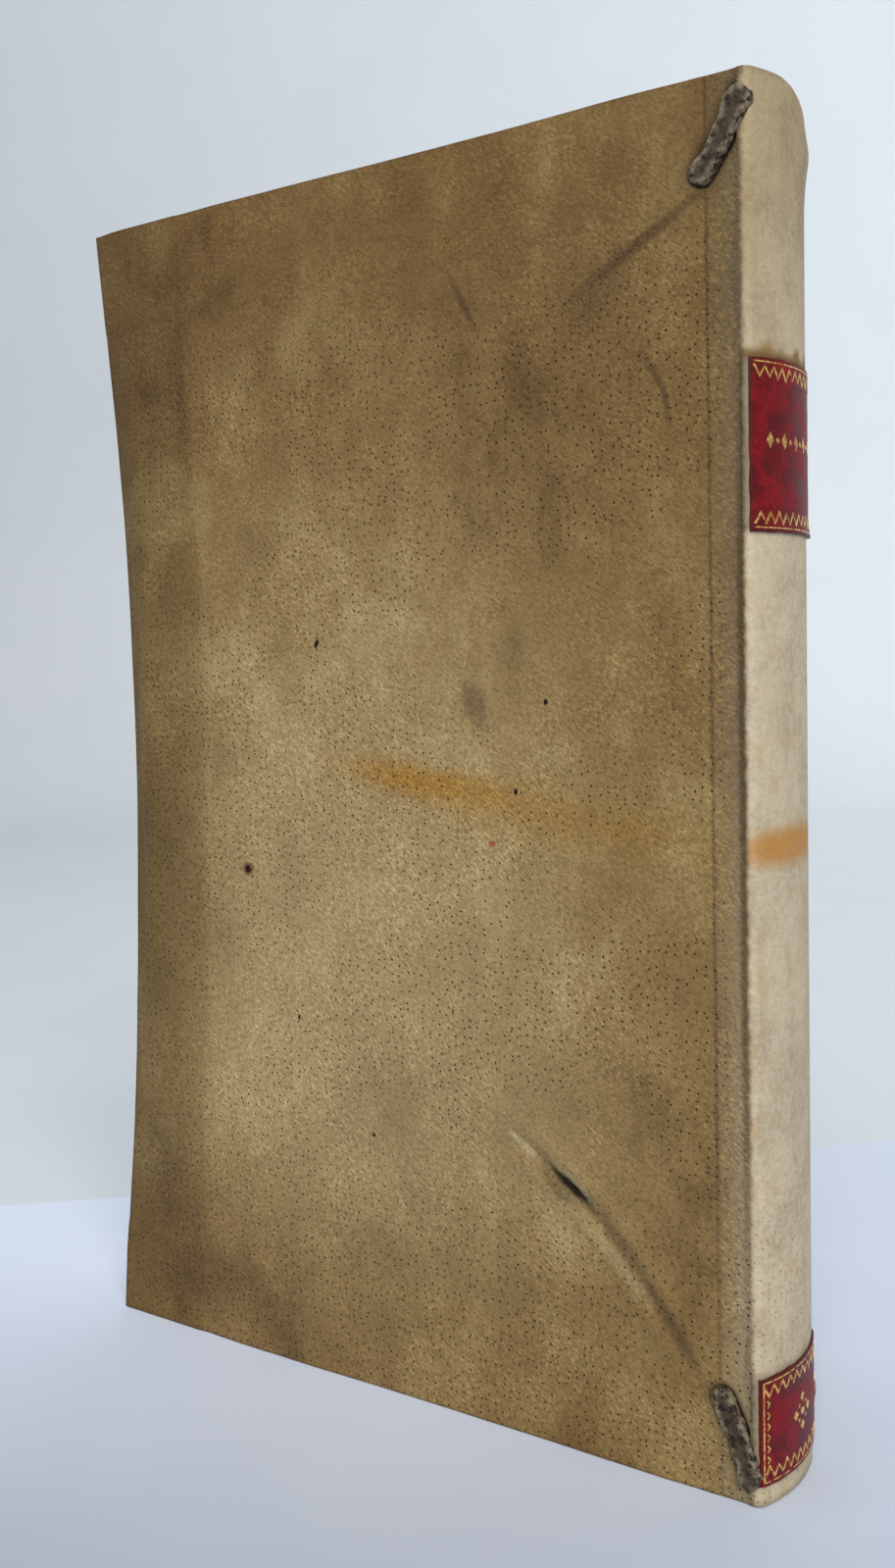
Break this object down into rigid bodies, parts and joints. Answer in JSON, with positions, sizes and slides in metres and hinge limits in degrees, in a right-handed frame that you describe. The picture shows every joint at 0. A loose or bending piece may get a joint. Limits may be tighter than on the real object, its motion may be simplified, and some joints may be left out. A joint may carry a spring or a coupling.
{
  "type": "prayer book",
  "caption": "Small limp-vellum prayer book standing on its tail, with laced-in endbands, red spine labels, covers that open at creased joints and leaves that turn.",
  "frame": {"origin": "middle of the closed book's footprint on the surface it stands on", "axes": "+Z from tail to head, +X out of the spine, -Y out of the front cover"},
  "size_m": [0.1094, 0.0182, 0.165],
  "materials": {
    "text_paper": "aged laid paper",
    "endpaper": "aged laid paper",
    "cover_vellum": "mottled vellum",
    "spine_vellum": "cleaned vellum",
    "lace_leather": "dried, darkened leather",
    "support_leather": "alum-tawed skin",
    "label_leather": "glazed, gold-tooled goatskin",
    "lining_paper": "waste paper",
    "linen_thread": "linen thread",
    "endband_thread": "linen thread"
  },
  "bodies": {
    "root": {"gathering_07": "text_paper", "gathering_08": "text_paper", "gathering_09": "text_paper", "gathering_10": "text_paper", "gathering_11": "text_paper", "gathering_12": "text_paper", "sewing_support_1": "support_leather", "sewing_support_2": "support_leather", "sewing_support_3": "support_leather", "spine_lining": "lining_paper", "head_endband_core": "lace_leather", "head_endband_winding": "endband_thread", "tail_endband_core": "lace_leather", "tail_endband_winding": "endband_thread", "title_label": "label_leather", "foot_label": "label_leather", "vellum_spine": "spine_vellum", "sewing_thread_back": "linen_thread", "head_back_lace": "lace_leather", "tail_back_lace": "lace_leather"},
    "front_block": {"gathering_01": "text_paper", "gathering_02": "text_paper", "gathering_03": "text_paper", "gathering_04": "text_paper", "gathering_05": "text_paper", "gathering_06": "text_paper", "sewing_thread_front": "linen_thread", "head_front_lace": "lace_leather", "tail_front_lace": "lace_leather"},
    "front_cover": {"front_vellum": "cover_vellum", "front_turn_ins": "cover_vellum", "front_pastedown": "endpaper"},
    "back_cover": {"back_vellum": "cover_vellum", "back_turn_ins": "cover_vellum", "back_pastedown": "endpaper"},
    "front_flyleaf_1": {"front_flyleaf_1": "endpaper"},
    "front_flyleaf_2": {"front_flyleaf_2": "endpaper"},
    "back_flyleaf_1": {"back_flyleaf_1": "endpaper"},
    "back_flyleaf_2": {"back_flyleaf_2": "endpaper"},
    "centre_leaf_1": {"centre_leaf_1": "text_paper"},
    "centre_leaf_2": {"centre_leaf_2": "text_paper"},
    "centre_leaf_3": {"centre_leaf_3": "text_paper"}
  },
  "joints": [
    {"name": "block_opening", "type": "hinge", "parent": "root", "child": "front_block", "pos_m": [0.05355, 0, 0.0825], "axis": [0, 0, 1], "range_deg": [0, 110], "deforming": ["sewing_support_1", "sewing_support_2", "sewing_support_3", "spine_lining", "head_endband_core", "head_endband_winding", "tail_endband_core", "tail_endband_winding", "title_label", "foot_label", "vellum_spine"]},
    {"name": "front_cover_hinge", "type": "hinge", "parent": "front_block", "child": "front_cover", "pos_m": [0.04745, -0.0081, 0.0825], "axis": [0, 0, 1], "range_deg": [0, 115], "deforming": ["head_front_lace", "tail_front_lace"]},
    {"name": "back_cover_hinge", "type": "hinge", "parent": "root", "child": "back_cover", "pos_m": [0.04745, 0.0081, 0.0825], "axis": [0, 0, -1], "range_deg": [0, 115], "deforming": ["head_back_lace", "tail_back_lace"]},
    {"name": "front_flyleaf_1_turn", "type": "hinge", "parent": "front_block", "child": "front_flyleaf_1", "pos_m": [0.04695, -0.00675, 0.0825], "axis": [0, 0, 1], "range_deg": [0, 69]},
    {"name": "back_flyleaf_1_turn", "type": "hinge", "parent": "root", "child": "back_flyleaf_1", "pos_m": [0.04695, 0.00675, 0.0825], "axis": [0, 0, -1], "range_deg": [0, 69]},
    {"name": "front_flyleaf_2_turn", "type": "hinge", "parent": "front_block", "child": "front_flyleaf_2", "pos_m": [0.04695, -0.0065, 0.0825], "axis": [0, 0, 1], "range_deg": [0, 34.5]},
    {"name": "back_flyleaf_2_turn", "type": "hinge", "parent": "root", "child": "back_flyleaf_2", "pos_m": [0.04695, 0.0065, 0.0825], "axis": [0, 0, -1], "range_deg": [0, 34.5]},
    {"name": "centre_leaf_1_turn", "type": "hinge", "parent": "root", "child": "centre_leaf_1", "pos_m": [0.05355, 0, 0.0825], "axis": [0, 0, 1], "range_deg": [0, 82.5]},
    {"name": "centre_leaf_2_turn", "type": "hinge", "parent": "root", "child": "centre_leaf_2", "pos_m": [0.05355, 0, 0.0825], "axis": [0, 0, 1], "range_deg": [0, 55]},
    {"name": "centre_leaf_3_turn", "type": "hinge", "parent": "root", "child": "centre_leaf_3", "pos_m": [0.05355, 0, 0.0825], "axis": [0, 0, 1], "range_deg": [0, 27.5]}
  ],
  "couplings": [
    {"joint": "front_flyleaf_1_turn", "follows": "front_cover_hinge", "ratio": 0.6},
    {"joint": "back_flyleaf_1_turn", "follows": "back_cover_hinge", "ratio": 0.6},
    {"joint": "front_flyleaf_2_turn", "follows": "front_cover_hinge", "ratio": 0.3},
    {"joint": "back_flyleaf_2_turn", "follows": "back_cover_hinge", "ratio": 0.3},
    {"joint": "centre_leaf_1_turn", "follows": "block_opening", "ratio": 0.75},
    {"joint": "centre_leaf_2_turn", "follows": "block_opening", "ratio": 0.5},
    {"joint": "centre_leaf_3_turn", "follows": "block_opening", "ratio": 0.25}
  ]
}
